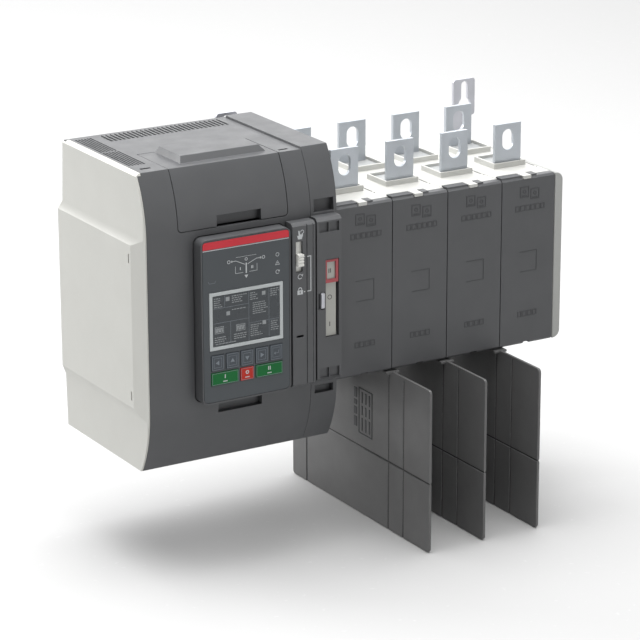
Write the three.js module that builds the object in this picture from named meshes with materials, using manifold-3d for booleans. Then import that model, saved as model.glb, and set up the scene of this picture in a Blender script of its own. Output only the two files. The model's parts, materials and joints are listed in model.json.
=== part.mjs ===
// Automatic transfer switch: a four-pole double-throw switch block with its motor mechanism on the left.
//
// Millimetres. X runs along the row of poles, -Y faces the operator and +Z is up.
// Origin: on the mounting plane, behind the middle of the first pole, at mid height.
// Rest state: the switch stands on source II, the selector on automatic, every cover closed.

import * as THREE from "three";
import { mergeVertices } from "three/addons/utils/BufferGeometryUtils.js";
import Module from "manifold-3d";

const wasm = await Module();
wasm.setup();

// ---------------------------------------------------------------- driving dimensions

const GAP = 0.3;                       // clearance between neighbouring pieces
const WALL = 2.6;                      // moulded cover wall

// pole block
const POLE_COUNT = 4;
const PITCH = 50;                      // pole pitch, and the width of one pole
const BLOCK_LEFT = -PITCH / 2;
const BLOCK_RIGHT = BLOCK_LEFT + POLE_COUNT * PITCH;
const BLOCK_TOP = 68;                  // the block is as high above the origin as it reaches below it
const BLOCK_FRONT = -150;
const HOUSING_FRONT = -142;
const COLLAR_HEIGHT = 4.4;

// switch shaft and contacts
const AXIS_Y = -79.35;                 // the shaft's axis runs along X at this depth, at Z = 0
const SHAFT_SIDE = 12;                 // square bar
const SHAFT_BORE = 9;                  // radius of the round bores it turns in
const ARM_LENGTH = 40;
const ARM_REST = -Math.PI / 4;         // the arms lean back towards source II
const TERMINAL_SHIFT = 3.2;            // the copper stands this far right of the pole's middle
const TERMINAL_WIDTH = 24.4;
const TERMINAL_THICK = 3;
const TERMINAL_TOP = 103;
const TERMINAL_HOLE_Z = 90.2;
const ROW_SPACING = 70.1;              // front copper to rear copper

// gears
const MODULE = 2.2;
const GEAR_TEETH = 24;
const PINION_TEETH = 12;
const GEAR_X = [-36, -30.5];

// mechanism box
const BOX_LEFT = -185.4;               // seam between the dark covers and the light side cover
const BASE_LEFT = -182.2;              // left side of the base, inside the side cover
const SIDE_SEAM = -48;                 // seam between the front cover and the drive side cover
const BOX_RIGHT = BLOCK_LEFT - GAP;
const BOX_TOP = 114.2;
const BOX_FRONT = -151.5;
const BOX_REAR = -23;
const TRAY_REAR = -13;
const FLAT_HALF = 66;                  // the front face is flat this far up and down, then curves back
const FRONT_RADIUS = 92.1;

// control face
const FACE_Y = -162;                   // front plane of the display unit, the selector and the column
const DISPLAY_X = [-147, -71.5];
const DISPLAY_Z = [-63, 63.5];
const SELECTOR_X = [-69.8, -50];
const SELECTOR_Z = [-63, 65];
const COLUMN_X = [-48.7, -27.4];
const COLUMN_Z = [-62, 66];
const WINDOW_X = [-41.2, -29.6];
const WINDOW_Z = [-27.6, 33.3];
const POINTER_SLOT_X = [-31, WINDOW_X[1]];  // the pointer's arm reaches inside through this slot
const POINTER_SLOT_Z = [-25.3, 30.8];
const TAB_SLOT_X = [-45.5, -42.1];     // the padlock tab slides in this one
const TAB_SLOT_Z = [-5.2, 8.3];
const KEY_TRAVEL = 0.6;

// ---------------------------------------------------------------- shape helpers

function solid(geometry) {
  const bare = geometry.clone();
  bare.deleteAttribute("normal");
  bare.deleteAttribute("uv");
  const merged = mergeVertices(bare);
  return new wasm.Manifold(new wasm.Mesh({
    numProp: 3,
    vertProperties: Float32Array.from(merged.attributes.position.array),
    triVerts: Uint32Array.from(merged.index.array),
  }));
}

// A block from three [low, high] pairs.
function block(x, y, z) {
  const spans = [x, y, z];
  const geometry = new THREE.BoxGeometry(...spans.map(([low, high]) => high - low));
  geometry.translate(...spans.map(([low, high]) => (low + high) / 2));
  return solid(geometry);
}

// An outline drawn in one plane and extruded along the third axis over [low, high].
function extrude(outline, span, along, segments = 8) {
  const depth = span[1] - span[0];
  const settings = { depth, bevelEnabled: false, curveSegments: segments };
  const geometry = new THREE.ExtrudeGeometry(outline, settings);
  const [x, y, z] = [new THREE.Vector3(1, 0, 0), new THREE.Vector3(0, 1, 0), new THREE.Vector3(0, 0, 1)];
  const turns = {
    x: new THREE.Matrix4().makeBasis(y, z, x).setPosition(span[0], 0, 0),
    y: new THREE.Matrix4().makeBasis(x, z, y.clone().negate()).setPosition(0, span[1], 0),
    z: new THREE.Matrix4().makeTranslation(0, 0, span[0]),
  };
  geometry.applyMatrix4(turns[along]);
  return solid(geometry);
}

function polygon(points) {
  return new THREE.Shape(points.map(([a, b]) => new THREE.Vector2(a, b)));
}

function roundedRectangle([left, right], [low, high], radius) {
  const shape = new THREE.Shape();
  shape.absarc(right - radius, low + radius, radius, -Math.PI / 2, 0, false);
  shape.absarc(right - radius, high - radius, radius, 0, Math.PI / 2, false);
  shape.absarc(left + radius, high - radius, radius, Math.PI / 2, Math.PI, false);
  shape.absarc(left + radius, low + radius, radius, Math.PI, 1.5 * Math.PI, false);
  return shape;
}

// A round bar along X.
function bar(radius, span, y, z, segments = 32) {
  const geometry = new THREE.CylinderGeometry(radius, radius, span[1] - span[0], segments);
  geometry.rotateZ(Math.PI / 2);
  geometry.translate((span[0] + span[1]) / 2, y, z);
  return solid(geometry);
}

function joined(bodies) {
  return bodies.reduce((whole, body) => whole.add(body));
}

function cut(body, tools) {
  return tools.reduce((rest, tool) => rest.subtract(tool), body);
}

function grown([low, high], amount) {
  return [low - amount, high + amount];
}

function centred(middle, size) {
  return [middle - size / 2, middle + size / 2];
}

// ---------------------------------------------------------------- assembly helpers

const FINISHES = {
  darkPlastic: [0x58595b, 0.55, 0],
  lightPlastic: [0xd2d3cc, 0.5, 0],
  creamPlastic: [0xe6e5df, 0.5, 0],
  barrierPlastic: [0x525252, 0.6, 0],
  fascia: [0x4b5256, 0.45, 0],
  frameGrey: [0xafb2b4, 0.4, 0],
  keyGrey: [0x434b52, 0.45, 0],
  green: [0x166e37, 0.4, 0],
  red: [0xc83228, 0.4, 0],
  plate: [0x9b9b94, 0.45, 0],
  tinnedCopper: [0xb9c0ca, 0.3, 0.9],
  copper: [0xb87333, 0.35, 1],
  steel: [0xb4b8bc, 0.35, 0.9],
  darkSteel: [0x70757a, 0.4, 0.9],
  board: [0x2c6b45, 0.6, 0],
  winding: [0x8a5a32, 0.6, 0.1],
};

const model = new THREE.Group();

function place(name, finish, body) {
  const { vertProperties, triVerts } = body.getMesh();
  const geometry = new THREE.BufferGeometry();
  geometry.setAttribute("position", new THREE.BufferAttribute(vertProperties, 3));
  geometry.setIndex(new THREE.BufferAttribute(triVerts, 1));
  geometry.computeVertexNormals();
  const [color, roughness, metalness] = FINISHES[finish];
  const mesh = new THREE.Mesh(geometry, new THREE.MeshStandardMaterial({ color, roughness, metalness }));
  mesh.name = name;
  model.add(mesh);
}

// ---------------------------------------------------------------- pole block

const FRONT_COPPER_Y = centred(AXIS_Y - ROW_SPACING / 2, TERMINAL_THICK);
const REAR_COPPER_Y = FRONT_COPPER_Y.map((y) => y + ROW_SPACING);
const LOAD_COPPER_Y = centred(AXIS_Y, TERMINAL_THICK);

// Collars round the copper: outer X beside the copper's middle, and outer Y of the three pockets.
const COLLAR_WALL = 1.6;
const COLLAR_SIDES = [-14, 15.6];
const FRONT_COLLAR_Y = [-118.1, -89.5];
const REAR_COLLAR_Y = FRONT_COLLAR_Y.map((y) => 2 * AXIS_Y - y).reverse();
const LOAD_COLLAR_Y = centred(AXIS_Y, 29);

// The tongue that holds the pole cover, and the rails that the phase barriers slide into.
const TONGUE_X = [20, 27.4];
const TONGUE_Z = [BLOCK_TOP - 1.5, BLOCK_TOP + 1.4];
const RAIL_Y = [-133, -105];
const BARRIER_THICK = 2.2;
const BARRIER_TOP = -BLOCK_TOP - 1.1;
const FOOT_WIDTH = 11.4;
const FOOT_THICK = 2;
const FOOT_FRONT = -152;

function poleHousing(left, hasRailLeft, hasRailRight) {
  const middle = left + PITCH / 2 + TERMINAL_SHIFT;
  const sides = grown([left, left + PITCH], -GAP / 2);
  const collarX = COLLAR_SIDES.map((x) => middle + x);
  const pocketX = grown(collarX, -COLLAR_WALL);
  const tongueX = TONGUE_X.map((x) => left + x);
  const bodies = [
    block(sides, [HOUSING_FRONT, 0], [-BLOCK_TOP, BLOCK_TOP]),
    block(collarX, FRONT_COLLAR_Y, [0, BLOCK_TOP + COLLAR_HEIGHT]),
    block(collarX, REAR_COLLAR_Y, [0, BLOCK_TOP + COLLAR_HEIGHT]),
    block(collarX, LOAD_COLLAR_Y, [-BLOCK_TOP - COLLAR_HEIGHT, 0]),
    block(tongueX, [BLOCK_FRONT, HOUSING_FRONT + 1], TONGUE_Z),
  ];
  if (hasRailLeft) bodies.push(...barrierRail(left, 1));
  if (hasRailRight) bodies.push(...barrierRail(left + PITCH, -1));
  const reach = BLOCK_TOP + COLLAR_HEIGHT + 1;
  return cut(joined(bodies), [
    block(grown(sides, -WALL), [HOUSING_FRONT + WALL, -WALL], [-BLOCK_TOP + WALL, BLOCK_TOP - WALL]),
    block(pocketX, grown(FRONT_COLLAR_Y, -COLLAR_WALL), [BLOCK_TOP - 2 * WALL, reach]),
    block(pocketX, grown(REAR_COLLAR_Y, -COLLAR_WALL), [BLOCK_TOP - 2 * WALL, reach]),
    block(pocketX, grown(LOAD_COLLAR_Y, -COLLAR_WALL), [-reach, -BLOCK_TOP + 2 * WALL]),
    bar(SHAFT_BORE, grown(sides, 1), AXIS_Y, 0),
  ]);
}

// Half of the groove that holds a barrier's foot: a wall with a hook that turns under the foot.
function barrierRail(seam, side) {
  const wall = [FOOT_WIDTH / 2 + GAP, FOOT_WIDTH / 2 + GAP + 2];
  const hook = [BARRIER_THICK / 2 + 0.5, wall[1]];
  const footBottom = BARRIER_TOP - FOOT_THICK;
  const across = (span) => span.map((x) => seam + side * x).sort((a, b) => a - b);
  return [
    block(across(wall), RAIL_Y, [footBottom - 2.2, -BLOCK_TOP + 1]),
    block(across(hook), RAIL_Y, [footBottom - 2.2, footBottom - GAP]),
  ];
}

function poleCover(left) {
  const sides = grown([left, left + PITCH], -0.35);
  const back = HOUSING_FRONT - GAP;
  const tongueGap = grown(TONGUE_X.map((x) => left + x), 0.5);
  const lips = [[sides[0], tongueGap[0]], [tongueGap[1], sides[1] - 16.2]];
  const lipTop = BLOCK_TOP + 1.4;
  const chamfer = 1.6;
  const notchX = centred(left + PITCH / 2 + 0.8, 6);
  const notchHeight = 1.8;
  const outline = polygon([
    [back, -BLOCK_TOP], [BLOCK_FRONT + chamfer, -BLOCK_TOP], [BLOCK_FRONT, -BLOCK_TOP + chamfer],
    [BLOCK_FRONT, BLOCK_TOP - chamfer], [BLOCK_FRONT + chamfer, BLOCK_TOP], [back, BLOCK_TOP],
  ]);
  const bodies = [extrude(outline, sides, "x")];
  for (const lipX of lips) {
    bodies.push(block(lipX, [BLOCK_FRONT + chamfer, back], [BLOCK_TOP - 1, lipTop]));
    bodies.push(block(lipX, [back - 1, HOUSING_FRONT + 1.5], [BLOCK_TOP + GAP, lipTop]));
  }
  return cut(joined(bodies), [
    block(tongueGap, [BLOCK_FRONT - 1, back + 1], [TONGUE_Z[0] - GAP, lipTop + 1]),
    block(grown(sides, -WALL), [BLOCK_FRONT + WALL, back + 1], [-BLOCK_TOP + WALL, BLOCK_TOP - WALL]),
    block(notchX, [BLOCK_FRONT - 1, back + 1], [-BLOCK_TOP - 1, -BLOCK_TOP + notchHeight]),
  ]);
}

function boltSlot(middle, y, z) {
  const outline = roundedRectangle(centred(middle, 10.6), centred(z, 16.6), 5.29);
  return extrude(outline, grown(y, 1), "y", 4);
}

// One source terminal: a bolt pad that stands out of the pole, and two jaws that the arm swings between.
// Below the pad the bar is thinner, so that a lug can lie flat on the pad alone.
function sourceTerminal(middle, y, jawSide) {
  const foot = 12;
  const step = 0.4;
  const outer = jawSide > 0 ? y[0] : y[1];
  const padBottom = BLOCK_TOP + COLLAR_HEIGHT + 1.6;
  const inner = jawSide > 0 ? y[1] : y[0];
  const jawY = [inner - jawSide * 0.5, inner + jawSide * 14.2].sort((a, b) => a - b);
  const jaws = [-1, 1].map((side) => {
    const jawX = [2.5, 6].map((x) => middle + side * x).sort((a, b) => a - b);
    return block(jawX, jawY, [foot, 40]);
  });
  const padX = centred(middle, TERMINAL_WIDTH);
  const thinned = block(grown(padX, 1), centred(outer, 2 * step), [foot - 1, padBottom]);
  const copper = block(padX, y, [foot, TERMINAL_TOP]).subtract(thinned);
  return joined([copper, ...jaws]).subtract(boltSlot(middle, y, TERMINAL_HOLE_Z));
}

function loadTerminal(middle) {
  const pad = block(centred(middle, TERMINAL_WIDTH), LOAD_COPPER_Y, [-TERMINAL_TOP, -14]);
  return pad.subtract(boltSlot(middle, LOAD_COPPER_Y, -TERMINAL_HOLE_Z));
}

function squareBar(side, span, angle) {
  const geometry = new THREE.BoxGeometry(span[1] - span[0], side, side);
  geometry.rotateX(angle);
  geometry.translate((span[0] + span[1]) / 2, AXIS_Y, 0);
  return solid(geometry);
}

function contactArm(middle) {
  const blade = new THREE.BoxGeometry(4, 12, ARM_LENGTH);
  blade.translate(0, 0, ARM_LENGTH / 2);
  blade.rotateX(ARM_REST);
  blade.translate(middle, AXIS_Y, 0);
  const hubX = centred(middle, 18);
  const body = bar(13, hubX, AXIS_Y, 0).add(solid(blade));
  return body.subtract(squareBar(SHAFT_SIDE + 2 * GAP, grown(hubX, 1), ARM_REST));
}

function phaseBarrier(seam) {
  const outline = roundedRectangle([-206, -0.4], [-200.4, BARRIER_TOP], 3);
  const plateX = centred(seam, BARRIER_THICK);
  const body = joined([
    extrude(outline, plateX, "x", 3),
    block(centred(seam, FOOT_WIDTH), [FOOT_FRONT, RAIL_Y[1]], [BARRIER_TOP - FOOT_THICK, BARRIER_TOP]),
  ]);
  // Break-off grooves, the same on both faces.
  const depth = 0.6;
  const width = 1.6;
  const grooves = [];
  for (const faceX of [plateX[0], plateX[1]]) {
    const grooveX = centred(faceX, 2 * depth);
    grooves.push(block(grooveX, [-210, 5], centred(-144.2, width)));
    for (const y of [-22.8, -147.5, -169]) {
      grooves.push(block(grooveX, centred(y, width), [-205, BARRIER_TOP - FOOT_THICK]));
    }
  }
  return cut(body, grooves);
}

function endCap() {
  const left = BLOCK_RIGHT + GAP / 2;
  const right = BLOCK_RIGHT + 7.6;
  const radius = 6.5;
  const profile = new THREE.Shape();
  profile.absarc(right - radius, -BLOCK_TOP + radius, radius, -Math.PI / 2, 0, false);
  profile.absarc(right - radius, BLOCK_TOP - radius, radius, 0, Math.PI / 2, false);
  profile.lineTo(left, BLOCK_TOP);
  profile.lineTo(left, -BLOCK_TOP);
  const rear = -2.7;
  const hollowZ = grown([-BLOCK_TOP, BLOCK_TOP], -radius);
  const hollow = block([left - 1, right - WALL], [BLOCK_FRONT + WALL, rear - WALL], hollowZ);
  const shell = extrude(profile, [BLOCK_FRONT, rear], "y", 6).subtract(hollow);
  const bearing = bar(13, [left, right - 1], AXIS_Y, 0);
  return shell.add(bearing).subtract(bar(SHAFT_BORE, [left - 1, left + 3.2], AXIS_Y, 0));
}

for (let index = 0; index < POLE_COUNT; index += 1) {
  const number = index + 1;
  const left = BLOCK_LEFT + index * PITCH;
  const middle = left + PITCH / 2 + TERMINAL_SHIFT;
  place(`pole_housing_${number}`, "creamPlastic", poleHousing(left, index > 0, number < POLE_COUNT));
  place(`pole_cover_${number}`, "darkPlastic", poleCover(left));
  place(`front_terminal_${number}`, "tinnedCopper", sourceTerminal(middle, FRONT_COPPER_Y, 1));
  place(`rear_terminal_${number}`, "tinnedCopper", sourceTerminal(middle, REAR_COPPER_Y, -1));
  place(`load_terminal_${number}`, "tinnedCopper", loadTerminal(middle));
  place(`contact_arm_${number}`, "copper", contactArm(middle));
}
for (let number = 1; number < POLE_COUNT; number += 1) {
  place(`phase_barrier_${number}`, "barrierPlastic", phaseBarrier(BLOCK_LEFT + number * PITCH));
}
place("end_cap", "lightPlastic", endCap());
place("drive_shaft", "darkSteel", squareBar(SHAFT_SIDE, [-50, BLOCK_RIGHT + 2.8], ARM_REST));

// ---------------------------------------------------------------- mounting brackets

const BRACKET_Y = [-2.4, 0];
const LUG_TOP = 112;

// A keyhole that hangs on a screw: a round entry with a narrower slot above it.
function keyhole(x, entryZ) {
  const entry = new THREE.Shape();
  entry.absarc(x, entryZ, 5.9, 0, 2 * Math.PI, false);
  const slot = roundedRectangle(centred(x, 6.4), [entryZ, entryZ + 19.5], 3.19);
  const through = grown(BRACKET_Y, 2);
  return extrude(entry, through, "y", 16).add(extrude(slot, through, "y", 3));
}

function bracket(lugX, strapX, holeX) {
  const body = joined([
    extrude(roundedRectangle(lugX, [81, LUG_TOP], 2.5), BRACKET_Y, "y", 3),
    extrude(roundedRectangle(lugX, [-LUG_TOP, -81], 2.5), BRACKET_Y, "y", 3),
    block(strapX, BRACKET_Y, [-90, 90]),
  ]);
  return cut(body, [keyhole(holeX, 90.5), keyhole(holeX, -LUG_TOP + 8.5)]);
}

const LEFT_LUG_X = [-45, -26.2];
const FLANGE_X = [-28.3, -26.2];
const leftFlange = block(FLANGE_X, [TRAY_REAR + GAP, BRACKET_Y[0] + 0.5], [-78, 78]);
place("left_mounting_bracket", "steel", bracket(LEFT_LUG_X, [-42, -26.2], -36.2).add(leftFlange));
place("right_mounting_bracket", "steel", bracket([176.6, 197.4], [175.4, 194.2], 187.3));

// ---------------------------------------------------------------- mechanism covers

// Side outline of the mechanism box in (y, z), moved inwards by inset.
function boxOutline(rear, top, inset = 0) {
  const radius = FRONT_RADIUS - inset;
  const centreY = BOX_FRONT + FRONT_RADIUS;
  const sweepUp = Math.asin((top - inset - FLAT_HALF) / radius);
  const sweepDown = Math.asin((BOX_TOP - inset - FLAT_HALF) / radius);
  const shape = new THREE.Shape();
  shape.absarc(centreY, -FLAT_HALF, radius, Math.PI + sweepDown, Math.PI, true);
  shape.absarc(centreY, FLAT_HALF, radius, Math.PI, Math.PI - sweepUp, true);
  shape.lineTo(rear, top - inset);
  shape.lineTo(rear, inset - BOX_TOP);
  return shape;
}

// A cover that wraps over the top, the front and the bottom, open behind.
function wrapCover(span, innerSpan, top = BOX_TOP) {
  const outside = extrude(boxOutline(BOX_REAR, top), span, "x", 10);
  return outside.subtract(extrude(boxOutline(0, top, WALL), innerSpan, "x", 10));
}

// A finger pocket in the front wall: a thicker stretch inside, then the recess.
function withPocket(body, x, z, thickZ) {
  const backing = block(grown(x, 2), [-149.2, -143.5], thickZ);
  return body.add(backing).subtract(block(x, [-160, -146], z));
}

const displayHoleOutline = roundedRectangle(grown(DISPLAY_X, 0.8), grown(DISPLAY_Z, 0.8), 5.8);
const displayHole = extrude(displayHoleOutline, [-170, -140], "y", 5);
const CONNECTOR_X = [-160, -67.2];
const CONNECTOR_REAR = -89;
const CONNECTOR_BOTTOM = 68.8;
const CONNECTOR_GAP = 0.5;

// The connector cover's share of the front and the top, with rounded lower corners, moved inwards by inset.
function connectorShare(inset) {
  const z = [CONNECTOR_BOTTOM + inset, BOX_TOP + 20];
  const outline = roundedRectangle(grown(CONNECTOR_X, -inset), z, 3.5 - inset);
  return extrude(outline, [-170, CONNECTOR_REAR - inset], "y", 4);
}

function frontCover() {
  const span = [BOX_LEFT, SIDE_SEAM - GAP];
  const wrapped = wrapCover(span, grown(span, 1));
  const body = withPocket(wrapped, [-128.2, -90.9], [-74.4, -67.4], [-77.6, -66.3]);
  const tools = [
    connectorShare(0),
    block([BOX_LEFT - 1, LIP_RIGHT + GAP], [-160, 0], [LIP_BOTTOM - GAP, 120]),
    displayHole,
    block([-177.5, -169], [-129.3, -126.6], [100, 130]),
    block([-64, -56], [-133, -130.6], [100, 130]),
  ];
  const sideVents = { count: 6, first: -180, step: 2.4, width: 1.4, rows: [[-116, -72.5], [-70.5, -27]] };
  for (let index = 0; index < sideVents.count; index += 1) {
    const x = sideVents.first + sideVents.step * index;
    for (const y of sideVents.rows) {
      tools.push(block([x, x + sideVents.width], y, [100, 130]));
    }
  }
  const rearVents = { count: 28, first: -158, step: 3.68, width: 2.1 };
  for (let index = 0; index < rearVents.count; index += 1) {
    const x = rearVents.first + rearVents.step * index;
    tools.push(block([x, x + rearVents.width], [-44, BOX_REAR + 1], [100, 130]));
  }
  return cut(body, tools);
}

function connectorCover() {
  const span = grown(CONNECTOR_X, -CONNECTOR_GAP);
  const share = wrapCover(span, grown(span, 1)).intersect(connectorShare(CONNECTOR_GAP));
  const padHeight = 4.8;
  const padTop = BOX_TOP + padHeight;
  const sunk = BOX_TOP - 1;
  const padAcross = polygon([[-145.6, sunk], [-72.5, sunk], [-77.3, padTop], [-143, padTop]]);
  const padAlong = polygon([[-130, sunk], [-90.2, sunk], [-91.8, padTop], [-125.4, padTop]]);
  const pad = extrude(padAcross, [-131, -90], "y").intersect(extrude(padAlong, [-147, -72], "x"));
  const pocketBottom = CONNECTOR_BOTTOM + CONNECTOR_GAP;
  const pocketTop = 77.4;
  const pocketZ = [pocketBottom - 1, pocketTop];
  return withPocket(share, [-127.4, -90.2], pocketZ, [pocketBottom, pocketTop + 2.6]).add(pad);
}

function driveSideCover() {
  const raised = 1.6;
  const span = [SIDE_SEAM, BOX_RIGHT];
  const wrapped = wrapCover(span, [SIDE_SEAM - 1, BOX_RIGHT - WALL], BOX_TOP + raised);
  const upper = withPocket(wrapped, [-45, -28], [67.6, 77.6], [66.4, 80]);
  const body = withPocket(upper, [-44.6, -28.4], [-74.6, -68.6], [-77.6, -66.4]);
  return cut(body, [
    bar(SHAFT_BORE, [BOX_RIGHT - 5, BOX_RIGHT + 1], AXIS_Y, 0),
    block(POINTER_SLOT_X, [-160, -140], POINTER_SLOT_Z),
    block(TAB_SLOT_X, [-160, -140], TAB_SLOT_Z),
  ]);
}

// The side cover folds over the top edge of the front cover with a lip.
const LIP_RIGHT = -182.7;
const LIP_BOTTOM = BOX_TOP - 1.8;

// Light side cover: a raised middle panel with ramps above and below, and a bevel along the front.
function sideOutside(rear, inset) {
  const right = BOX_LEFT - GAP + (inset > 0 ? 3 : 0);
  const [edge, shoulder, face] = [-187, -187.2, -190].map((x) => x + inset);
  const top = BOX_TOP - inset;
  const across = polygon([
    [right, top], [edge, top], [shoulder, 66.5 + inset / 2], [face, 60 + inset / 2],
    [face, -65.5 - inset / 2], [shoulder, -73 - inset / 2], [edge, -top], [right, -top],
  ]);
  const front = -152 + inset / 2;
  const plan = polygon([
    [right, rear], [face, rear], [face, front + 18], [-186.6 + inset, front], [right, front],
  ]);
  const profile = polygon([
    [-160, -120], [rear - 3, -120], [rear - 2, -73], [rear - 2, 60],
    [rear - 4.5, 66.5], [rear - 7.5, 120], [-160, 120],
  ]);
  return extrude(across, [-153, rear], "y")
    .intersect(extrude(plan, [-120, 120], "z"))
    .intersect(extrude(profile, [-195, right], "x"))
    .intersect(extrude(boxOutline(rear, BOX_TOP, inset), [-195, right], "x", 10));
}

function sideCover() {
  const wall = 2.2;
  const shell = sideOutside(TRAY_REAR, 0).subtract(sideOutside(TRAY_REAR - wall, wall));
  const lip = extrude(boxOutline(BOX_REAR, BOX_TOP), [-186.5, LIP_RIGHT], "x", 10)
    .intersect(block([-190, LIP_RIGHT], [-160, 0], [LIP_BOTTOM, BOX_TOP]));
  const bevel = polygon([[-192, 109.2], [-183.9, BOX_TOP], [-183.9, 120], [-192, 120]]);
  const latchSlots = [49.5, -56.5].map((z) => block([-192, -186], [-131.6, -130.2], centred(z, 7)));
  return cut(shell.add(lip), [extrude(bevel, [-160, 0], "y"), ...latchSlots]);
}

function mechanismBase() {
  const span = [BASE_LEFT, BOX_RIGHT];
  const rimY = [BOX_REAR + GAP, TRAY_REAR];
  const tray = block(span, rimY, [-112, 112]).subtract(
    block(grown(span, -WALL), [rimY[0] - 1, TRAY_REAR - WALL], [-112 + WALL, 112 - WALL]),
  );
  const back = TRAY_REAR - 1;
  const posts = [];
  for (const x of [-172, -76]) {
    for (const z of [-44, 58]) {
      posts.push(block(centred(x, 6), [-28, back], centred(z, 6)));
    }
  }
  const bulkhead = block([-44, -41.5], [-124, back], [-62, 62]);
  const shelf = block([-158, -74], [-136, back], [66, 68]);
  return cut(joined([tray, bulkhead, shelf, ...posts]), [
    bar(SHAFT_BORE, [-46, -40], AXIS_Y, 0),
    bar(5, [-46, -40], PINION_Y, PINION_Z, 24),
  ]);
}

// ---------------------------------------------------------------- drive inside the mechanism

const GEAR_RADIUS = MODULE * GEAR_TEETH / 2;
const PINION_RADIUS = MODULE * PINION_TEETH / 2;
const TOOTH_PITCH = Math.PI * MODULE;
const ADDENDUM = 0.85 * MODULE;
const DEDENDUM = 1.25 * MODULE;
const HALF_TOOTH = { tip: 0.11 * TOOTH_PITCH, pitch: 0.2 * TOOTH_PITCH, root: 0.3 * TOOTH_PITCH };
const PINION_ANGLE = -Math.PI / 4;     // from the shaft, behind and below
const PINION_Y = AXIS_Y + (GEAR_RADIUS + PINION_RADIUS) * Math.cos(PINION_ANGLE);
const PINION_Z = (GEAR_RADIUS + PINION_RADIUS) * Math.sin(PINION_ANGLE);

// A spur gear about (y, z) with the middle of one tooth at the angle first.
function spurGear(teeth, first, y, z) {
  const radius = MODULE * teeth / 2;
  const tip = radius + ADDENDUM;
  const root = radius - DEDENDUM;
  const points = [];
  for (let tooth = 0; tooth < teeth; tooth += 1) {
    const middle = first + (tooth / teeth) * 2 * Math.PI;
    const corners = [
      [root, -HALF_TOOTH.root], [radius, -HALF_TOOTH.pitch], [tip, -HALF_TOOTH.tip],
      [tip, HALF_TOOTH.tip], [radius, HALF_TOOTH.pitch], [root, HALF_TOOTH.root],
    ];
    for (const [reach, half] of corners) {
      const angle = middle + half / reach;
      points.push([y + reach * Math.cos(angle), z + reach * Math.sin(angle)]);
    }
  }
  return extrude(polygon(points), GEAR_X, "x");
}

function shaftGear() {
  const halfStep = Math.PI / GEAR_TEETH;
  const gear = spurGear(GEAR_TEETH, halfStep, AXIS_Y, 0);
  return gear.subtract(squareBar(SHAFT_SIDE + 2 * GAP, grown(GEAR_X, 1), ARM_REST));
}

function motorPinion() {
  const facing = PINION_ANGLE + Math.PI;
  const shaft = bar(3, [-54, GEAR_X[0] + 1], PINION_Y, PINION_Z, 20);
  return spurGear(PINION_TEETH, facing, PINION_Y, PINION_Z).add(shaft);
}

function driveMotor() {
  const flange = block([-46.9, -44.3], centred(PINION_Y, 34), centred(PINION_Z, 34));
  const can = bar(17, [-104, -46], PINION_Y, PINION_Z, 28);
  const boss = bar(8, [-108, -103], PINION_Y, PINION_Z, 20);
  return joined([flange, can, boss]).subtract(bar(3.4, [-56, -40], PINION_Y, PINION_Z, 20));
}

// Red pointer: a frame in front of the position plate, an arm that reaches inside, and the rack on its end.
function positionPointer() {
  const frameX = grown(WINDOW_X, -GAP);
  const frameZ = [14.8, 32.7];
  const frameY = [-161.4, -160.3];
  const frame = block(frameX, frameY, frameZ).subtract(
    block([frameX[0] + 1.1, frameX[1] - 2.2], grown(frameY, 1), [frameZ[0] + 2.6, frameZ[1] - 1.7]),
  );
  const rackPitchY = AXIS_Y - GEAR_RADIUS;
  const rackRoot = rackPitchY - DEDENDUM;
  const rackX = [GEAR_X[0], frameX[1]];
  const armX = [POINTER_SLOT_X[0] + GAP, frameX[1]];
  const arm = block(armX, [frameY[0] + 0.2, rackRoot - 1], [17.2, 30]);
  const spine = block(rackX, [rackRoot - 4.5, rackRoot], [-9, 55]);
  const teeth = [];
  for (let tooth = -1; tooth <= 7; tooth += 1) {
    const z = tooth * TOOTH_PITCH;
    const lower = [
      [rackRoot - 0.5, z - HALF_TOOTH.root], [rackRoot, z - HALF_TOOTH.root],
      [rackPitchY, z - HALF_TOOTH.pitch], [rackPitchY + ADDENDUM, z - HALF_TOOTH.tip],
    ];
    const upper = lower.map(([y, edge]) => [y, 2 * z - edge]).reverse();
    teeth.push(extrude(polygon([...lower, ...upper]), GEAR_X, "x"));
  }
  return joined([frame, arm, spine, ...teeth]);
}

function controlBoard() {
  const front = -30;
  return joined([
    block([-176, -70], [front, front + 1.6], [-50, 63]),
    block([-168, -140], [front - 12, front + 1], [20, 44]),
    block([-168, -154], [front - 15, front + 1], [-10, 12]),
    block([-148, -134], [front - 15, front + 1], [-10, 12]),
    block([-100, -76], [front - 8, front + 1], [34, 52]),
  ]);
}

function powerTransformer() {
  const y = [-66, TRAY_REAR - WALL - GAP];
  const core = block([-170, -122], y, [-104, -58]);
  const coil = block([-176, -116], [-58, -24], [-96, -66]);
  return core.add(coil);
}

function terminalStrip() {
  const step = block([-153, -79], [-133, -124], [80, 89]);
  const body = block([-152, -80], [-132, -112], [68.3, 88]).subtract(step);
  const entries = [];
  for (let x = -147.5; x < -82; x += 7.2) {
    entries.push(block(centred(x, 4.2), [-133, -118], [71, 77]));
  }
  return cut(body, entries);
}

place("mechanism_base", "darkPlastic", mechanismBase());
place("side_cover", "lightPlastic", sideCover());
place("front_cover", "darkPlastic", frontCover());
place("connector_cover", "darkPlastic", connectorCover());
place("drive_side_cover", "darkPlastic", driveSideCover());
place("terminal_strip", "green", terminalStrip());
place("control_board", "board", controlBoard());
place("power_transformer", "winding", powerTransformer());
place("drive_motor", "darkSteel", driveMotor());
place("motor_pinion", "steel", motorPinion());
place("shaft_gear", "darkSteel", shaftGear());

// ---------------------------------------------------------------- display unit

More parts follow.
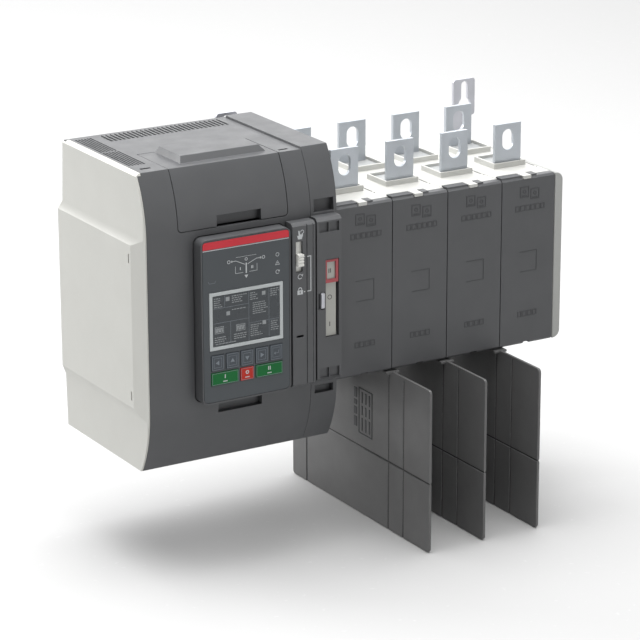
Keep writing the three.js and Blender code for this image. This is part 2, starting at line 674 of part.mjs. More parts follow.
const FASCIA_THICK = 1.4;
const FRAME_X = [-140.6, -78.4];
const FRAME_Z = [-21.7, 22.7];
const FRAME_STROKE = 2.7;
const KEY_GAP = 0.25;
const KEY_X = [-139.6, -79.3];         // the key field's left and right edges
const MENU_KEYS = 5;
const MENU_KEY_WIDTH = 10.5;
const MENU_KEY_Z = [-37.3, -25.5];
const SOURCE_KEY_Z = [-48.7, -39];
const SOURCE_KEYS = {
  source_one_key: ["green", [-139.6, -117]],
  off_key: ["red", [-115.1, -104]],
  source_two_key: ["green", [-102, -79.3]],
};

const keys = [];
const menuStep = (KEY_X[1] - KEY_X[0] - MENU_KEY_WIDTH) / (MENU_KEYS - 1);
for (let index = 0; index < MENU_KEYS; index += 1) {
  const left = KEY_X[0] + index * menuStep;
  const x = [left, left + MENU_KEY_WIDTH];
  keys.push({ name: `menu_key_${index + 1}`, finish: "keyGrey", x, z: MENU_KEY_Z });
}
for (const [name, [finish, x]] of Object.entries(SOURCE_KEYS)) {
  keys.push({ name, finish, x, z: SOURCE_KEY_Z });
}

function displayHousing() {
  const rear = -128;
  const ledge = FACE_Y + FASCIA_THICK + GAP;
  const outside = extrude(roundedRectangle(DISPLAY_X, DISPLAY_Z, 5), [FACE_Y, rear], "y", 5);
  return cut(outside, [
    extrude(roundedRectangle(grown(DISPLAY_X, -1), grown(DISPLAY_Z, -1), 4), [FACE_Y - 1, ledge], "y", 5),
    block(grown(DISPLAY_X, -4), [ledge - 1, rear - 2], grown(DISPLAY_Z, -4)),
    block([-120, -98], [rear - 3, rear + 1], [-6, 6]),
  ]);
}

function displayFascia() {
  const inset = 1 + GAP;
  const span = [FACE_Y, FACE_Y + FASCIA_THICK];
  const outline = roundedRectangle(grown(DISPLAY_X, -inset), grown(DISPLAY_Z, -inset), 3.7);
  const sheet = extrude(outline, span, "y", 5);
  const through = grown(span, 1);
  const holes = keys.map((key) => block(grown(key.x, KEY_GAP), through, grown(key.z, KEY_GAP)));
  return cut(sheet, [block(grown(FRAME_X, KEY_GAP), through, grown(FRAME_Z, KEY_GAP)), ...holes]);
}

function displayFrame() {
  const span = [FACE_Y - 0.3, FACE_Y + FASCIA_THICK];
  const inside = block(grown(FRAME_X, -FRAME_STROKE), grown(span, 1), grown(FRAME_Z, -FRAME_STROKE));
  return block(FRAME_X, span, FRAME_Z).subtract(inside);
}

function displayPanel() {
  const inset = -FRAME_STROKE - KEY_GAP;
  return block(grown(FRAME_X, inset), [FACE_Y, FACE_Y + 4], grown(FRAME_Z, inset));
}

place("display_housing", "darkPlastic", displayHousing());
place("display_fascia", "fascia", displayFascia());
place("display_frame", "frameGrey", displayFrame());
place("display_panel", "fascia", displayPanel());
for (const key of keys) {
  const keyY = [FACE_Y - KEY_TRAVEL, FACE_Y + FASCIA_THICK + GAP];
  place(key.name, key.finish, extrude(roundedRectangle(key.x, key.z, 0.6), keyY, "y", 2));
}

// ---------------------------------------------------------------- selector panel and position column

// A raised strip on the front with its upper and lower front edges chamfered.
function frontStrip(x, z, chamfer) {
  const back = BOX_FRONT - GAP;
  return extrude(polygon([
    [back, z[0]], [FACE_Y + chamfer, z[0]], [FACE_Y, z[0] + chamfer],
    [FACE_Y, z[1] - chamfer], [FACE_Y + chamfer, z[1]], [back, z[1]],
  ]), x, "x");
}

const SLOT_X = [-66.8, -61.2];
const SLOT_Z = [27.3, 50.8];
const SELECTOR_TRAVEL = 9;
const PANEL_WALL = 2.2;

function selectorPanel() {
  const cavity = block(grown(SELECTOR_X, -2), [FACE_Y + PANEL_WALL, BOX_FRONT + 1], grown(SELECTOR_Z, -2));
  return cut(frontStrip(SELECTOR_X, SELECTOR_Z, 2.4), [
    cavity,
    block(SLOT_X, [FACE_Y - 1, FACE_Y + 4], SLOT_Z),
    block([-66.5, -60.6], [FACE_Y - 1, FACE_Y + 4], centred(-22.9, 1.6)),
    block([-57.9, -57.1], [FACE_Y - 1, FACE_Y + 0.9], grown(SELECTOR_Z, 1)),
    block([-52.4, -51.8], [FACE_Y - 1, FACE_Y + 0.6], grown(SELECTOR_Z, 1)),
  ]);
}

function modeSelector() {
  const plateFront = FACE_Y + PANEL_WALL + GAP;
  const plateZ = [SLOT_Z[0] - SELECTOR_TRAVEL - 0.7, SLOT_Z[1] + 0.6];
  const plate = block([-67.4, -60.6], [plateFront, plateFront + 2.4], plateZ);
  const knob = block(grown(SLOT_X, -GAP), [FACE_Y - 3, plateFront + 1], [32.3, 41.5]);
  const gripY = [FACE_Y - 4, FACE_Y - 2.2];
  const grips = [34.3, 36.5, 38.7].map((z) => block(grown(SLOT_X, 1), gripY, [z, z + 0.9]));
  return cut(plate.add(knob), grips);
}

function indicatorColumn() {
  const sheet = 4.2;
  const cavity = block(grown(COLUMN_X, -2), [FACE_Y + sheet, BOX_FRONT + 1], grown(COLUMN_Z, -2));
  const recess = [FACE_Y - 1, FACE_Y + 2];
  const through = [FACE_Y - 1, FACE_Y + sheet + 1];
  return cut(frontStrip(COLUMN_X, COLUMN_Z, 2.6), [
    cavity,
    block(WINDOW_X, [FACE_Y - 1, FACE_Y + 3.2], WINDOW_Z),
    block(POINTER_SLOT_X, through, POINTER_SLOT_Z),
    block(TAB_SLOT_X, through, TAB_SLOT_Z),
    block([-48, -45.4], recess, [-4.8, 7.8]),
    block([-46.6, -38.6], recess, [54.8, 62.2]),
    block([-37.8, -29.5], recess, [54.8, 62.2]),
    block([-46.3, -38.4], recess, [-59.4, -51.5]),
    block([-37.6, -29.4], recess, [-59.4, -51.5]),
  ]);
}

function indicatorPlate() {
  const x = [WINDOW_X[0] + 0.3, POINTER_SLOT_X[0] - 0.2];
  return block(x, [FACE_Y + 2, FACE_Y + 2.9], [WINDOW_Z[0] + 0.4, WINDOW_Z[1] - 1.7]);
}

function padlockTab() {
  const outline = roundedRectangle([FACE_Y - 0.6, -128], [-4.7, 7.8], 1.5);
  const hole = new THREE.Shape();
  hole.absarc(-152.5, 1.5, 3.3, 0, 2 * Math.PI, false);
  const thickness = [-45.2, -42.4];
  return extrude(outline, thickness, "x", 3).subtract(extrude(hole, grown(thickness, 1), "x", 20));
}

place("selector_panel", "darkPlastic", selectorPanel());
place("mode_selector", "frameGrey", modeSelector());
place("indicator_column", "darkPlastic", indicatorColumn());
place("indicator_plate", "plate", indicatorPlate());
place("position_pointer", "red", positionPointer());
place("padlock_tab", "steel", padlockTab());

export default model;
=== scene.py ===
import json
import math
import random

import bmesh
import bpy
from mathutils import Matrix, Vector

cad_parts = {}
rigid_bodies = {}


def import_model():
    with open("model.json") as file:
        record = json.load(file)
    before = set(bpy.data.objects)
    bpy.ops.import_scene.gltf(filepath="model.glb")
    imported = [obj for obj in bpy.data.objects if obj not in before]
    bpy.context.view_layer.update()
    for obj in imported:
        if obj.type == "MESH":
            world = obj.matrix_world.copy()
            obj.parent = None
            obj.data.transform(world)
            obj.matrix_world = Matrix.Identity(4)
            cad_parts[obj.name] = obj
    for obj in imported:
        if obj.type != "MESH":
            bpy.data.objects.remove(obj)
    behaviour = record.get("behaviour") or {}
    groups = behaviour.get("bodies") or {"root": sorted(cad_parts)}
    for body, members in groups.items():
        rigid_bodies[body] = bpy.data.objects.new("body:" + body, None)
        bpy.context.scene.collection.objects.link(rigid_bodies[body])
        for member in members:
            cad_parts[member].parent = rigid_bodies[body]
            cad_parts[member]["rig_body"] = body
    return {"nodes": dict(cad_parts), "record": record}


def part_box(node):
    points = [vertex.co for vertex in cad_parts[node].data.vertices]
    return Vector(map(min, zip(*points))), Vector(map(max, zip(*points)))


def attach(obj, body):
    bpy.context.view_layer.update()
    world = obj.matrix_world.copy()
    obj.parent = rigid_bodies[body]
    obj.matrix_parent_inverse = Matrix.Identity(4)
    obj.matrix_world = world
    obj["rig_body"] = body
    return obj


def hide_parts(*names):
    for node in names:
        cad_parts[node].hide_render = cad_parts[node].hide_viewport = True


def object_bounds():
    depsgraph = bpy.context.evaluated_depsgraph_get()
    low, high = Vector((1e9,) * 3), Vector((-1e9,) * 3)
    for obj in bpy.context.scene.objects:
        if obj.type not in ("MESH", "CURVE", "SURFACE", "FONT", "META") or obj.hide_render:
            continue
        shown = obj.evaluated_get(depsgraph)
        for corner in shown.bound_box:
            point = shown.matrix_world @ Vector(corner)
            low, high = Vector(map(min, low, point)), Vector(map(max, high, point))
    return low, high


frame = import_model()
cad_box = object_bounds()

MM = 0.001
NODES = frame["nodes"]
SLOT_OF = {part["node"]: part["material_slot"] for part in frame["record"]["subparts"]}


def box_mm(node):
    """(low, high) of a CAD node in millimetres."""
    low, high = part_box(node)
    return low / MM, high / MM


# ------------------------------------------------------------------ materials

def linear(*levels):
    """Red, green and blue from sRGB levels of 0 to 255 to scene linear."""
    return tuple(((c / 255 + 0.055) / 1.055) ** 2.4 if c > 10 else c / 255 / 12.92 for c in levels)


def shade(colour, factor):
    """The colour made darker or lighter."""
    return tuple(min(1.0, c * factor) for c in colour)


class Shader:
    """Adds nodes to one material and links them.

    Noise is in object space, so its scale is in features per metre."""

    def __init__(self, name):
        self.material = bpy.data.materials.new(name)
        self.material.use_nodes = True
        self.tree = self.material.node_tree
        self.tree.nodes.clear()
        self.out = self.add("ShaderNodeOutputMaterial")
        self.surface = self.add("ShaderNodeBsdfPrincipled")
        self.link(self.surface, "BSDF", self.out, "Surface")
        self.place = self.add("ShaderNodeTexCoord")

    def add(self, kind, **values):
        node = self.tree.nodes.new(kind)
        for key, value in values.items():
            if key in node.inputs:
                node.inputs[key].default_value = value
            else:
                setattr(node, key, value)
        return node

    def link(self, source, output, target, socket):
        self.tree.links.new(source.outputs[output], target.inputs[socket])

    def noise(self, scale, detail, roughness, stretch=(1, 1, 1)):
        mapping = self.add("ShaderNodeMapping", Scale=stretch)
        self.link(self.place, "Object", mapping, "Vector")
        noise = self.add("ShaderNodeTexNoise", Scale=scale, Detail=detail, Roughness=roughness)
        self.link(mapping, "Vector", noise, "Vector")
        return noise

    def patches(self, scale, detail, roughness=0.55, low=0.3, high=0.7):
        """Noise mapped so that low gives 0 and high gives 1."""
        node = self.add("ShaderNodeMapRange")
        node.inputs["From Min"].default_value = low
        node.inputs["From Max"].default_value = high
        self.link(self.noise(scale, detail, roughness), "Fac", node, "Value")
        return node

    def times(self, source, output, other, other_output=None):
        """The source multiplied by a number or by another node's output."""
        node = self.add("ShaderNodeMath", operation="MULTIPLY")
        self.link(source, output, node, 0)
        if other_output:
            self.link(other, other_output, node, 1)
        else:
            node.inputs[1].default_value = other
        return node

    def plus(self, source, output, amount):
        """The source with a number added."""
        node = self.add("ShaderNodeMath", operation="ADD")
        self.link(source, output, node, 0)
        node.inputs[1].default_value = amount
        return node

    def mix(self, amount, output, first, second):
        """Blends two colours, each a tuple or an earlier mix."""
        node = self.add("ShaderNodeMix", data_type="RGBA")
        self.link(amount, output, node, "Factor")
        for socket, value in ((6, first), (7, second)):
            if isinstance(value, bpy.types.Node):
                self.tree.links.new(value.outputs[2], node.inputs[socket])
            else:
                node.inputs[socket].default_value = (*value, 1)
        return node

    def worn_and_highlit_edges(self, scale):
        """1 on rounded edges where the noise is high, 0 elsewhere: where edges are lightened, partly as
        scuffing and partly as a painted highlight.
        """
        rim = self.add("ShaderNodeAttribute", attribute_name="edge_wear_and_highlight")
        patchy = self.patches(scale, detail=5, roughness=0.65, low=0.4, high=0.62)
        return self.times(rim, "Fac", patchy, "Result")

    def base_colour(self, mix):
        self.tree.links.new(mix.outputs[2], self.surface.inputs["Base Color"])

    def uneven_gloss(self, rough, spread, smudges):
        """Roughness that varies with the smudges, by half the spread to each side of rough."""
        change = self.times(smudges, "Result", spread)
        self.link(self.plus(change, "Value", rough - spread / 2), "Value", self.surface, "Roughness")

    def relief(self, source, strength, distance):
        """Bumps the surface by the source's Fac, over a distance in metres."""
        bump = self.add("ShaderNodeBump", Strength=strength, Distance=distance)
        self.link(source, "Fac", bump, "Height")
        self.link(bump, "Normal", self.surface, "Normal")


def plastic(name, colour, rough=0.5, mottle=0.05, grain=1500, depth=0.3, wear_and_highlight=1.5, specular=0.5):
    """Moulded plastic: spark-eroded grain, slow tone changes, specks, smudges in the gloss, edges lighter
    from scuffing and from a painted highlight.

    The tone varies by the share mottle. Grain is in features per metre, and depth is the strength of its
    bumps. The edge factor is how much lighter a rounded edge is, for scuffing and as a painted highlight."""
    speck_share, speck_shade, worn_and_highlit_share = 0.2, 1.45, 0.5
    s = Shader(name)
    clouds = s.patches(scale=28, detail=4)
    tone = s.mix(clouds, "Result", shade(colour, 1 - mottle), shade(colour, 1 + mottle))
    dots = s.patches(scale=grain * 0.45, detail=2, low=0.66, high=0.78)
    specks = s.times(dots, "Result", speck_share)
    speckled = s.mix(specks, "Value", tone, shade(colour, speck_shade))
    # Rounded edges are lightened, partly as scuffing and partly as a painted highlight.
    worn_and_highlit = s.times(s.worn_and_highlit_edges(scale=170), "Value", worn_and_highlit_share)
    s.base_colour(s.mix(worn_and_highlit, "Value", speckled, shade(colour, wear_and_highlight)))
    s.uneven_gloss(rough, 0.12, s.patches(scale=60, detail=5, roughness=0.6, high=0.75))
    s.surface.inputs["Specular IOR Level"].default_value = specular
    s.relief(s.noise(grain, detail=4, roughness=0.6), strength=depth, distance=0.06 * MM)
    return s.material


def metal(name, colour, rough=0.35, stretch=(1, 1, 18), metallic=1.0):
    """Sheet or bar metal: rolling marks along one axis, stains in tone and gloss, edges brighter from
    scuffing and from a painted highlight.
    """
    stained, clean, rubbed_and_highlit = 0.86, 1.06, 1.25
    s = Shader(name)
    stains = s.patches(scale=45, detail=5, roughness=0.6, high=0.72)
    tone = s.mix(stains, "Result", shade(colour, stained), shade(colour, clean))
    # Rounded edges are brightened, partly as scuffing and partly as a painted highlight.
    s.base_colour(s.mix(s.worn_and_highlit_edges(scale=240), "Value", tone, shade(colour, rubbed_and_highlit)))
    s.uneven_gloss(rough, 0.2, s.patches(scale=90, detail=6, roughness=0.65, low=0.35))
    s.surface.inputs["Metallic"].default_value = metallic
    marks = s.noise(900, detail=4, roughness=0.6, stretch=stretch)
    s.relief(marks, strength=0.25, distance=0.04 * MM)
    return s.material


def winding(name, colour):
    """Enamelled wire wound in layers, under a varnish."""
    between, on_wire = 0.45, 1.2
    s = Shader(name)
    wave = s.add("ShaderNodeTexWave", Scale=380.0, Distortion=1.2, Detail=2.0, bands_direction="Y")
    s.link(s.place, "Object", wave, "Vector")
    s.base_colour(s.mix(wave, "Fac", shade(colour, between), shade(colour, on_wire)))
    s.surface.inputs["Roughness"].default_value = 0.3
    s.surface.inputs["Metallic"].default_value = 0.4
    s.relief(wave, strength=0.8, distance=0.3 * MM)
    return s.material


# One material for each slot of the record, then the nodes whose tone differs from the rest of their slot,
# partly as painted light and shade, then the materials of what is added here: prints, seals darkened as
# painted shade, moulded marks, painted shade for the groove and slit lines, screws and chips.
MATERIALS = {
    "dark_plastic": plastic("dark_plastic", linear(76, 77, 79), 0.5),
    "light_plastic": plastic("light_plastic", linear(181, 181, 176), 0.5, 0.015, wear_and_highlight=1.06),
    "cream_plastic": plastic("cream_plastic", linear(186, 186, 182), 0.5, 0.02, wear_and_highlight=1.05),
    "barrier_plastic": plastic("barrier_plastic", linear(92, 92, 92), 0.5, 0.06),
    "fascia_film": plastic("fascia_film", linear(62, 67, 71), 0.42, 0.03, grain=2600, depth=0.15),
    "display_glass": plastic("display_glass", linear(55, 60, 64), 0.28, 0.03, grain=2600, depth=0.08),
    "frame_grey": plastic("frame_grey", linear(177, 182, 183), 0.4, 0.03, wear_and_highlight=1.15),
    "key_grey": plastic("key_grey", linear(55, 62, 69), 0.42, 0.04, grain=2400),
    "key_green": plastic("key_green", linear(0, 96, 42), 0.42, 0.05, grain=2400, specular=0.25),
    "key_red": plastic("key_red", linear(172, 40, 29), 0.42, 0.05, grain=2400, specular=0.25),
    "scale_plate": plastic("scale_plate", linear(165, 165, 159), 0.45, 0.03, wear_and_highlight=1.1),
    "pointer_red": plastic("pointer_red", linear(158, 66, 72), 0.35, 0.05, wear_and_highlight=1.3),
    "tinned_copper": metal("tinned_copper", linear(184, 189, 195), 0.5, metallic=0.6),
    "contact_copper": metal("contact_copper", linear(183, 116, 75), 0.35),
    "zinc_steel": metal("zinc_steel", linear(195, 196, 202), 0.5, (1, 1, 1), metallic=0.7),
    "dark_steel": metal("dark_steel", linear(107, 110, 114), 0.4, (18, 1, 1)),
    "circuit_board": plastic("circuit_board", linear(29, 82, 53), 0.35, 0.08, grain=700, depth=0.5),
    "terminal_green": plastic("terminal_green", linear(46, 118, 69), 0.45, 0.05),
    "transformer_winding": winding("transformer_winding", linear(134, 82, 42)),
}
MATERIALS_BY_NODE = {
    # The slider is light cream plastic, set lighter still as painted light against the shade in its slot.
    "mode_selector": plastic("selector_knob_painted_light", linear(218, 218, 213), 0.45, 0.02, wear_and_highlight=1.05),
    # The end cap is the housings' cream; its darker grey is painted shade on its front-facing strip.
    "end_cap": plastic("cap_plastic_painted_shade", linear(162, 163, 160), 0.5, 0.02, wear_and_highlight=1.05),
}
INKS = {
    "ink_soft": plastic("ink_soft", linear(141, 145, 147), 0.5, 0.06, grain=2400, depth=0.1),
    "ink_light": plastic("ink_light", linear(183, 186, 188), 0.5, 0.04, grain=2400, depth=0.1),
    "ink_grey": plastic("ink_grey", linear(114, 121, 128), 0.5, 0.05, grain=2400, depth=0.1),
    "ink_dark": plastic("ink_dark", linear(64, 64, 62), 0.5, 0.05, grain=2400, depth=0.1),
    "ink_red": plastic("ink_red", linear(193, 24, 43), 0.42, 0.04, grain=2400, depth=0.1),
    # Grey of the collar fills, darker than the housing cream as painted shade in the collars.
    "seal_plastic_painted_shade": plastic("seal_plastic_painted_shade", linear(158, 160, 160), 0.55, 0.03, wear_and_highlight=1.05),
    "moulded_mark": plastic("moulded_mark", linear(65, 66, 68), 0.6, 0.05),
    "groove_shadow": plastic("groove_shadow", linear(46, 46, 46), 0.7, 0.05),
    "screw_steel": metal("screw_steel", linear(170, 172, 175), 0.3, (1, 1, 1)),
    "black_plastic": plastic("black_plastic", linear(33, 33, 35), 0.4, 0.08),
}


# ------------------------------------------------------------------ rounded copies of the CAD nodes

# Corners this close, in metres, are one. Folds under FLAT degrees are flat, from FOLD they are rounded by
# plain(), and folds over SHARP that are left stay sharp.
SAME_CORNER = 2e-6
FLAT = 0.6
FOLD = 28
SHARP = 50


def every_edge(edge):
    """No choice: all the edges that fold enough."""
    return True


def rounded(node, passes):
    """A copy of a CAD node with its sharp edges rounded.

    Each pass is (radius in mm, which edges, least angle in degrees). The rounded faces carry the attribute
    that marks them for lightening, partly as scuffing and partly as a painted highlight."""
    source = NODES[node]
    bm = bmesh.new()
    bm.from_mesh(source.data)
    bmesh.ops.remove_doubles(bm, verts=bm.verts, dist=SAME_CORNER)
    bmesh.ops.dissolve_limit(bm, angle_limit=math.radians(FLAT), verts=bm.verts, edges=bm.edges)
    wear_and_highlight = bm.faces.layers.float.new("edge_wear_and_highlight")
    for radius, chosen, least in passes:
        edges = [
            e for e in bm.edges
            if e.is_manifold and e.calc_face_angle(0.0) > math.radians(least) and chosen(e)
        ]
        made = bmesh.ops.bevel(
            bm, geom=edges, offset=radius * MM, offset_type="OFFSET", segments=2, profile=0.5,
            affect="EDGES", clamp_overlap=True,
        )
        for face in made["faces"]:
            face[wear_and_highlight] = 1.0
    for face in bm.faces:
        face.smooth = True
    mesh = bpy.data.meshes.new(node + "_skin")
    bm.to_mesh(mesh)
    bm.free()
    mesh.set_sharp_from_angle(angle=math.radians(SHARP))
    piece = bpy.data.objects.new(node + "_skin", mesh)
    bpy.context.scene.collection.objects.link(piece)
    weighted = piece.modifiers.new("weighted_normals", "WEIGHTED_NORMAL")
    weighted.keep_sharp = True
    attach(piece, source["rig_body"])
    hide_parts(node)
    return piece


def outer_shell_edge(edge):
    """Convex edges between two outside faces of the side cover, not the rim that meets the dark covers."""
    return edge.is_convex and all(f.normal.x < 0.5 and f.normal.y < 0.9 for f in edge.link_faces)


def front_outline_edge(edge):
    """The outer edge of the front rim of the display housing, on its sides and round its corners."""
    at_front, on_side, round_corner = 0.1 * MM, 0.2 * MM, 3.2 * MM
    low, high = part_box("display_housing")
    middle = (edge.verts[0].co + edge.verts[1].co) / 2
    from_side = min(middle.x - low.x, high.x - middle.x)
    from_end = min(middle.z - low.z, high.z - middle.z)
    outermost = min(from_side, from_end) < on_side or from_side + from_end < round_corner
    return middle.y < low.y + at_front and outermost


def plain(radius):
    """One pass over every edge that is a clear fold."""
    return [(radius, every_edge, FOLD)]


# By the node's name without its number. Nodes left out stay as they are in the CAD.
ROUNDING = {
    "pole_cover": plain(0.7), "pole_housing": plain(0.45), "end_cap": plain(1.2),
    "front_terminal": plain(0.25), "rear_terminal": plain(0.25), "load_terminal": plain(0.25),
    "phase_barrier": plain(0.3),
    "left_mounting_bracket": plain(0.35), "right_mounting_bracket": plain(0.35),
    "side_cover": [(1.6, outer_shell_edge, 8), (0.3, every_edge, 55)],
    "front_cover": plain(0.5), "connector_cover": plain(0.6), "drive_side_cover": plain(0.5),
    "mechanism_base": plain(0.4),
    "display_housing": [(0.8, front_outline_edge, FOLD), (0.15, every_edge, 55)],
    "display_fascia": plain(0.12), "display_frame": plain(0.25), "display_panel": plain(0.2),
    "menu_key": plain(0.2), "source_one_key": plain(0.2), "off_key": plain(0.2),
    "source_two_key": plain(0.2),
    "selector_panel": plain(0.4), "mode_selector": plain(0.25), "indicator_column": plain(0.4),
    "indicator_plate": plain(0.12), "position_pointer": plain(0.15), "padlock_tab": plain(0.3),
    "contact_arm": plain(0.4), "drive_shaft": plain(0.5), "terminal_strip": plain(0.4),
    "drive_motor": plain(0.5), "power_transformer": plain(0.8), "control_board": plain(0.15),
}

for node in sorted(NODES):
    stem = node.rstrip("0123456789").rstrip("_")
    piece = rounded(node, ROUNDING[stem]) if stem in ROUNDING else NODES[node]
    piece.data.materials.clear()
    piece.data.materials.append(MATERIALS_BY_NODE.get(node, MATERIALS[SLOT_OF[node]]))


# ------------------------------------------------------------------ marks drawn on a face

class Drawing:
    """Flat shapes on one face of the object, raised a little, as one mesh. Sizes are in millimetres.

    The axis is the one that the face looks along. On "y" the shapes are drawn in (x, z) and raised towards
    -Y, on "x" they are in (y, z) and go towards -X, and on "z" they are in (x, y) and go towards +Z. A
    negative raise_by turns that round."""

    OUT = {"x": Vector((-1, 0, 0)), "y": Vector((0, -1, 0)), "z": Vector((0, 0, 1))}

    def __init__(self, name, body, axis, level, raise_by):
        self.name = name
        self.body = body
        self.axis = axis
        self.level = level
        self.raise_by = raise_by
        self.bm = bmesh.new()

    def point(self, u, v):
        place = {"x": (self.level, u, v), "y": (u, self.level, v), "z": (u, v, self.level)}[self.axis]
        return self.bm.verts.new(Vector(place) * MM)

    def face(self, points):
        self.bm.faces.new([self.point(u, v) for u, v in points])

    def strip(self, left, right, closed=False):
        """Quads between two rows of points."""
        a = [self.point(*p) for p in left]
        b = [self.point(*p) for p in right]
        last = len(a) if closed else len(a) - 1
        for i in range(last):
            j = (i + 1) % len(a)
            self.bm.faces.new((a[i], a[j], b[j], b[i]))

    def bar(self, left, right, bottom, top):
        self.face([(left, bottom), (right, bottom), (right, top), (left, top)])

    def outline(self, left, right, bottom, top, width):
        """A frame of even width inside the given edges."""
        outer = [(left, bottom), (right, bottom), (right, top), (left, top)]
        inner = [
            (left + width, bottom + width), (right - width, bottom + width),
            (right - width, top - width), (left + width, top - width),
        ]
        self.strip(outer, inner, closed=True)

    def arc(self, u, v, radius, width, start=0, end=360, steps=28):
        """A part or all of a ring. The radius is that of its outer edge, the angles are in degrees."""
        turn = [math.radians(start + (end - start) * i / steps) for i in range(steps + 1)]
        closed = end - start == 360
        if closed:
            turn = turn[:-1]
        outer, inner = (
            [(u + r * math.cos(t), v + r * math.sin(t)) for t in turn] for r in (radius, radius - width)
        )
        self.strip(outer, inner, closed)

    def disc(self, u, v, radius, steps=24):
        turn = [2 * math.pi * i / steps for i in range(steps)]
        self.face([(u + radius * math.cos(t), v + radius * math.sin(t)) for t in turn])

    def stroke(self, points, width, closed=False):
        """A line of even width through the points, with mitred corners."""
        count = len(points)
        left, right = [], []
        for i, here in enumerate(points):
            here = Vector(here)
            before = Vector(points[i - 1]) if i or closed else None
            after = Vector(points[(i + 1) % count]) if i < count - 1 or closed else None
            ways = []
            if before is not None:
                ways.append((here - before).normalized())
            if after is not None:
                ways.append((after - here).normalized())
            along = sum(ways, Vector((0, 0))).normalized()
            across = Vector((-along.y, along.x))
            reach = width / 2 / max(0.3, abs(across.dot(Vector((-ways[0].y, ways[0].x)))))
            left.append(tuple(here + across * reach))
            right.append(tuple(here - across * reach))
        self.strip(left, right, closed)

    def done(self, material):
        """Raises the shapes and makes the piece."""
        step = self.OUT[self.axis] * self.raise_by * MM
        grown = bmesh.ops.extrude_face_region(self.bm, geom=list(self.bm.faces))
        moved = [g for g in grown["geom"] if isinstance(g, bmesh.types.BMVert)]
        bmesh.ops.translate(self.bm, verts=moved, vec=step)
        bmesh.ops.recalc_face_normals(self.bm, faces=self.bm.faces)
        mesh = bpy.data.meshes.new(self.name)
        self.bm.to_mesh(mesh)
        self.bm.free()
        piece = bpy.data.objects.new(self.name, mesh)
        bpy.context.scene.collection.objects.link(piece)
        mesh.materials.append(INKS[material])
        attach(piece, self.body)


# ------------------------------------------------------------------ display unit

# How far marks stand proud of the face they are on, in millimetres.
THIN_PRINT = 0.04
PRINT = 0.05
FILM = 0.06


def numeral(drawing, kind, u, v, height, width):
    """The position marks I, O and II."""
    if kind == "O":
        drawing.arc(u, v, height / 2, width)
        return
    for shift in {"I": (0,), "II": (-0.9 * width, 0.9 * width)}[kind]:
        drawing.bar(u + shift - width / 2, u + shift + width / 2, v - height / 2, v + height / 2)


fascia_low, fascia_high = box_mm("display_fascia")
FASCIA_FRONT = fascia_low.y
# The height of the two source circles.
MIMIC_Z = fascia_high.z - 17.9


def fascia_stripe():
    """The accent stripe with two round upper corners, and the fine line below it."""
    height, corner, side_gap = 5.7, 2.4, 0.15
    left, right = fascia_low.x + side_gap, fascia_high.x - side_gap
    top = fascia_high.z - 0.5
    bottom = top - height
    turn = [math.radians(angle) for angle in range(0, 91, 15)]
    stripe = Drawing("fascia_stripe", "display_unit", "y", FASCIA_FRONT, FILM)
    stripe.face(
        [(left, bottom), (right, bottom)]
        + [(right - corner + corner * math.cos(t), top - corner + corner * math.sin(t)) for t in turn]
        + [(left + corner - corner * math.sin(t), top - corner + corner * math.cos(t)) for t in turn]
    )
    stripe.done("ink_red")
    underline = Drawing("fascia_underline", "display_unit", "y", FASCIA_FRONT, PRINT)
    underline.bar(left, right, bottom - 1.0, bottom - 0.45)
    underline.done("ink_light")


def mimic_diagram():
    """Two sources above, the load arrow below, and the switch between them."""
    centre = (fascia_low.x + fascia_high.x) / 2
    mimic = Drawing("mimic_diagram", "display_unit", "y", FASCIA_FRONT, PRINT)
    for side, shift in ((-1, 0), (1, -0.4)):
        level = MIMIC_Z + shift
        mimic.arc(centre + side * 14.6, level, 1.35, 0.45)
        mimic.bar(*sorted((centre + side * 11.6, centre + side * 12.7)), level - 0.7, level + 0.7)
        mimic.stroke([
            (centre + side * 12.6, level), (centre + side * 8.6, level),
            (centre + side * 1.2, MIMIC_Z - 3.6),
        ], 0.42)
        mimic.stroke([
            (centre + side * 9.1, MIMIC_Z - 4.2), (centre + side * 9.1, MIMIC_Z - 9.6),
            (centre + side * 2.6, MIMIC_Z - 9.6),
        ], 0.3)
    mimic.arc(centre, MIMIC_Z + 0.3, 1.2, 0.42)
    mimic.stroke([(centre - 8.6, MIMIC_Z + 2.6), (centre + 8.6, MIMIC_Z + 2.6)], 0.22)
    mimic.bar(centre - 0.5, centre + 0.5, MIMIC_Z - 10.4, MIMIC_Z - 2.6)
    numeral(mimic, "I", centre - 5.0, MIMIC_Z - 6.4, 2.2, 0.6)
    numeral(mimic, "II", centre + 5.0, MIMIC_Z - 6.4, 2.2, 0.6)
    mimic.face([
        (centre - 1.6, MIMIC_Z - 11.8), (centre, MIMIC_Z - 14.2), (centre + 1.6, MIMIC_Z - 11.8),
    ])
    mimic.done("ink_light")


def status_symbols():
    """A lamp, a warning triangle and a circling arrow, one below the other."""
    x = fascia_high.x - 10
    status = Drawing("status_symbols", "display_unit", "y", FASCIA_FRONT, PRINT)
    status.arc(x, MIMIC_Z - 0.3, 1.5, 0.35)
    status.stroke([(x - 1.7, MIMIC_Z - 8.1), (x + 1.7, MIMIC_Z - 8.1), (x, MIMIC_Z - 5.1)], 0.3, True)
    status.bar(x - 0.2, x + 0.2, MIMIC_Z - 7.3, MIMIC_Z - 6.2)
    status.arc(x, MIMIC_Z - 13.6, 1.6, 0.4, 40, 320)
    status.face([(x + 0.5, MIMIC_Z - 12.7), (x + 2.1, MIMIC_Z - 12.4), (x + 1.4, MIMIC_Z - 13.9)])
    status.done("ink_light")


def service_port_mark():
    """The outline of a flat plug."""
    x, z = fascia_low.x + 7.6, MIMIC_Z - 13.4
    port = Drawing("service_port_mark", "display_unit", "y", FASCIA_FRONT, THIN_PRINT)
    port.stroke([(x - 3, z + 0.9), (x - 2.4, z - 0.7), (x + 2.4, z - 0.7), (x + 3, z + 0.9)], 0.25)
    port.done("ink_grey")


